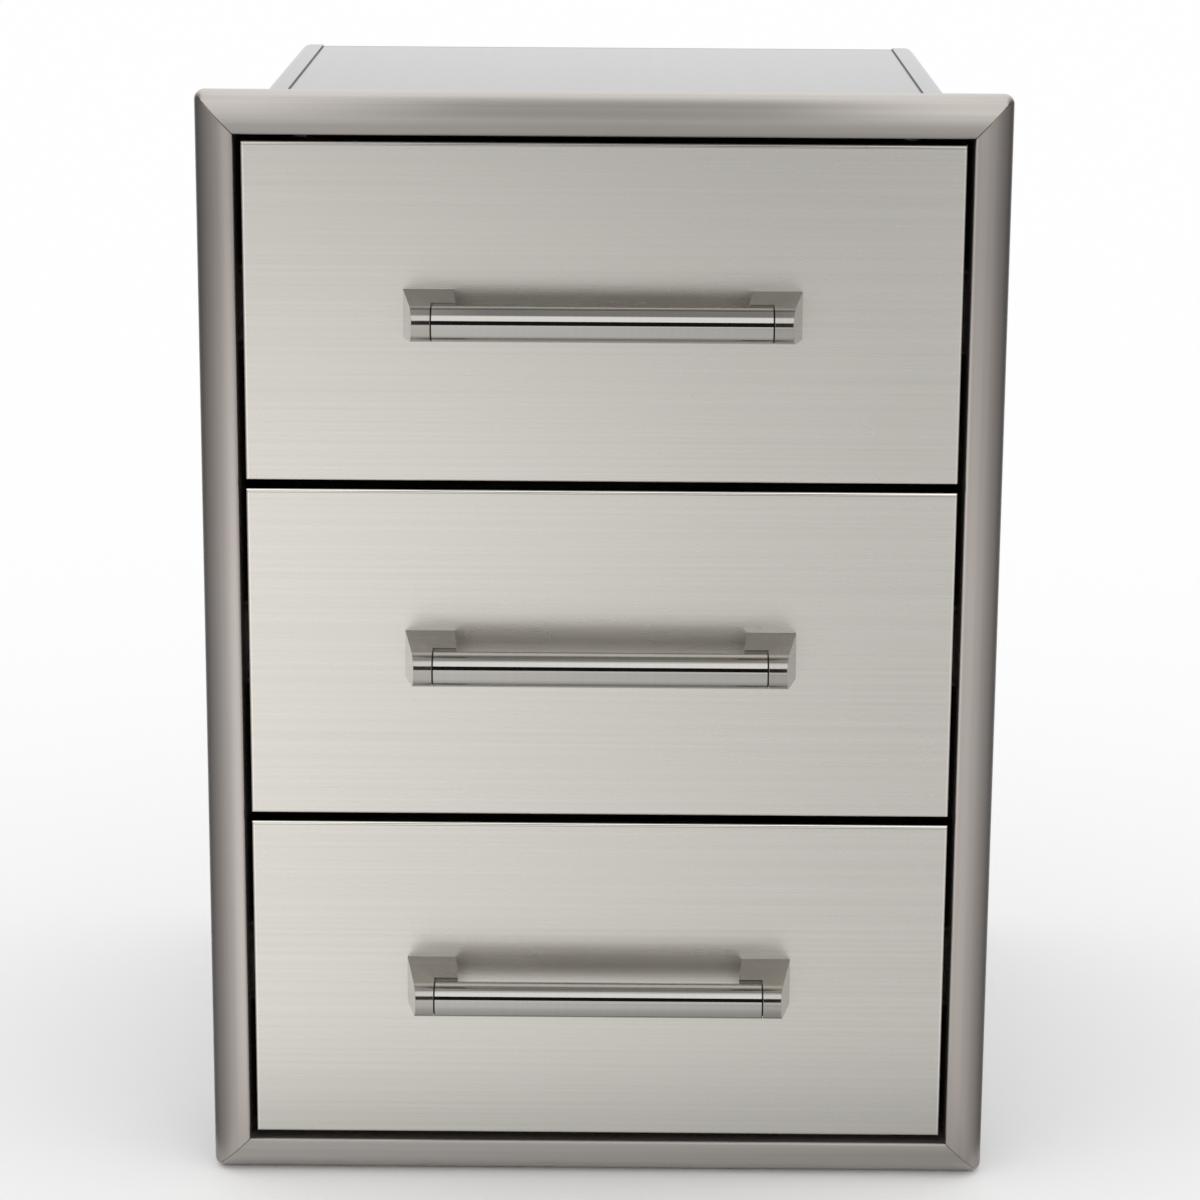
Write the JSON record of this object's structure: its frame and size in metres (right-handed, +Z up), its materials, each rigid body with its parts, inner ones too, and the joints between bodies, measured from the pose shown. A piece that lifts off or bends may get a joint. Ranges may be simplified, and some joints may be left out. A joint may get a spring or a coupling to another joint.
{
  "type": "outdoor kitchen drawer unit",
  "caption": "Built-in drawer unit for an outdoor kitchen: a stainless steel box with a rounded trim frame and inset drawers with bar handles on full-extension ball-bearing slides.",
  "frame": {"origin": "middle of the trim frame's bottom edge, in the plane of the wall that the frame seats on", "axes": "+Z up, +Y back into the wall and out of the seat, +X to the right as seen from the front"},
  "size_m": [0.432, 0.4903, 0.605],
  "materials": {
    "trim_steel": "satin stainless steel, brushed along each length of the frame",
    "front_steel": "satin stainless steel, brushed across",
    "liner_steel": "stainless steel, mill finish",
    "tray_steel": "stainless steel, fine brushed",
    "box_steel": "stainless steel, smooth mill finish",
    "handle_steel": "finely brushed stainless steel, nearly polished",
    "slide_steel": "bright zinc plating",
    "cage_steel": "plain steel strip",
    "fastener_steel": "bright stainless steel",
    "bumper_rubber": "black rubber"
  },
  "bodies": {
    "cabinet": {"frame_top_rail": "trim_steel", "frame_bottom_rail": "trim_steel", "frame_left_stile": "trim_steel", "frame_right_stile": "trim_steel", "left_side_panel": "box_steel", "right_side_panel": "box_steel", "top_panel": "box_steel", "bottom_panel": "box_steel", "back_panel": "box_steel", "frame_rivets": "fastener_steel", "cabinet_slide_screws": "fastener_steel", "closing_bumpers": "bumper_rubber", "bottom_left_cabinet_member": "slide_steel", "bottom_right_cabinet_member": "slide_steel", "middle_left_cabinet_member": "slide_steel", "middle_right_cabinet_member": "slide_steel", "top_left_cabinet_member": "slide_steel", "top_right_cabinet_member": "slide_steel"},
    "bottom_drawer": {"bottom_front_skin": "front_steel", "bottom_front_liner": "liner_steel", "bottom_tray": "tray_steel", "bottom_handle_bar": "handle_steel", "bottom_left_handle_bracket": "handle_steel", "bottom_right_handle_bracket": "handle_steel", "bottom_handle_screws": "fastener_steel", "bottom_drawer_slide_screws": "fastener_steel", "bottom_left_drawer_member": "slide_steel", "bottom_right_drawer_member": "slide_steel"},
    "bottom_left_middle": {"bottom_left_middle_member": "slide_steel"},
    "bottom_right_middle": {"bottom_right_middle_member": "slide_steel"},
    "bottom_outer_cages": {"bottom_outer_ball_cages": "cage_steel"},
    "bottom_inner_cages": {"bottom_inner_ball_cages": "cage_steel"},
    "middle_drawer": {"middle_front_skin": "front_steel", "middle_front_liner": "liner_steel", "middle_tray": "tray_steel", "middle_handle_bar": "handle_steel", "middle_left_handle_bracket": "handle_steel", "middle_right_handle_bracket": "handle_steel", "middle_handle_screws": "fastener_steel", "middle_drawer_slide_screws": "fastener_steel", "middle_left_drawer_member": "slide_steel", "middle_right_drawer_member": "slide_steel"},
    "middle_left_middle": {"middle_left_middle_member": "slide_steel"},
    "middle_right_middle": {"middle_right_middle_member": "slide_steel"},
    "middle_outer_cages": {"middle_outer_ball_cages": "cage_steel"},
    "middle_inner_cages": {"middle_inner_ball_cages": "cage_steel"},
    "top_drawer": {"top_front_skin": "front_steel", "top_front_liner": "liner_steel", "top_tray": "tray_steel", "top_handle_bar": "handle_steel", "top_left_handle_bracket": "handle_steel", "top_right_handle_bracket": "handle_steel", "top_handle_screws": "fastener_steel", "top_drawer_slide_screws": "fastener_steel", "top_left_drawer_member": "slide_steel", "top_right_drawer_member": "slide_steel"},
    "top_left_middle": {"top_left_middle_member": "slide_steel"},
    "top_right_middle": {"top_right_middle_member": "slide_steel"},
    "top_outer_cages": {"top_outer_ball_cages": "cage_steel"},
    "top_inner_cages": {"top_inner_ball_cages": "cage_steel"}
  },
  "joints": [
    {"name": "bottom_drawer_slide", "type": "slide", "parent": "cabinet", "child": "bottom_drawer", "axis": [0, -1, 0], "range_m": [0, 0.39]},
    {"name": "bottom_left_middle_slide", "type": "slide", "parent": "cabinet", "child": "bottom_left_middle", "axis": [0, -1, 0], "range_m": [0, 0.195]},
    {"name": "bottom_right_middle_slide", "type": "slide", "parent": "cabinet", "child": "bottom_right_middle", "axis": [0, -1, 0], "range_m": [0, 0.195]},
    {"name": "bottom_outer_cages_slide", "type": "slide", "parent": "cabinet", "child": "bottom_outer_cages", "axis": [0, -1, 0], "range_m": [0, 0.0975]},
    {"name": "bottom_inner_cages_slide", "type": "slide", "parent": "cabinet", "child": "bottom_inner_cages", "axis": [0, -1, 0], "range_m": [0, 0.2925]},
    {"name": "middle_drawer_slide", "type": "slide", "parent": "cabinet", "child": "middle_drawer", "axis": [0, -1, 0], "range_m": [0, 0.39]},
    {"name": "middle_left_middle_slide", "type": "slide", "parent": "cabinet", "child": "middle_left_middle", "axis": [0, -1, 0], "range_m": [0, 0.195]},
    {"name": "middle_right_middle_slide", "type": "slide", "parent": "cabinet", "child": "middle_right_middle", "axis": [0, -1, 0], "range_m": [0, 0.195]},
    {"name": "middle_outer_cages_slide", "type": "slide", "parent": "cabinet", "child": "middle_outer_cages", "axis": [0, -1, 0], "range_m": [0, 0.0975]},
    {"name": "middle_inner_cages_slide", "type": "slide", "parent": "cabinet", "child": "middle_inner_cages", "axis": [0, -1, 0], "range_m": [0, 0.2925]},
    {"name": "top_drawer_slide", "type": "slide", "parent": "cabinet", "child": "top_drawer", "axis": [0, -1, 0], "range_m": [0, 0.39]},
    {"name": "top_left_middle_slide", "type": "slide", "parent": "cabinet", "child": "top_left_middle", "axis": [0, -1, 0], "range_m": [0, 0.195]},
    {"name": "top_right_middle_slide", "type": "slide", "parent": "cabinet", "child": "top_right_middle", "axis": [0, -1, 0], "range_m": [0, 0.195]},
    {"name": "top_outer_cages_slide", "type": "slide", "parent": "cabinet", "child": "top_outer_cages", "axis": [0, -1, 0], "range_m": [0, 0.0975]},
    {"name": "top_inner_cages_slide", "type": "slide", "parent": "cabinet", "child": "top_inner_cages", "axis": [0, -1, 0], "range_m": [0, 0.2925]}
  ],
  "couplings": [
    {"joint": "bottom_left_middle_slide", "follows": "bottom_drawer_slide", "ratio": 0.5},
    {"joint": "bottom_right_middle_slide", "follows": "bottom_drawer_slide", "ratio": 0.5},
    {"joint": "bottom_outer_cages_slide", "follows": "bottom_drawer_slide", "ratio": 0.25},
    {"joint": "bottom_inner_cages_slide", "follows": "bottom_drawer_slide", "ratio": 0.75},
    {"joint": "middle_left_middle_slide", "follows": "middle_drawer_slide", "ratio": 0.5},
    {"joint": "middle_right_middle_slide", "follows": "middle_drawer_slide", "ratio": 0.5},
    {"joint": "middle_outer_cages_slide", "follows": "middle_drawer_slide", "ratio": 0.25},
    {"joint": "middle_inner_cages_slide", "follows": "middle_drawer_slide", "ratio": 0.75},
    {"joint": "top_left_middle_slide", "follows": "top_drawer_slide", "ratio": 0.5},
    {"joint": "top_right_middle_slide", "follows": "top_drawer_slide", "ratio": 0.5},
    {"joint": "top_outer_cages_slide", "follows": "top_drawer_slide", "ratio": 0.25},
    {"joint": "top_inner_cages_slide", "follows": "top_drawer_slide", "ratio": 0.75}
  ]
}
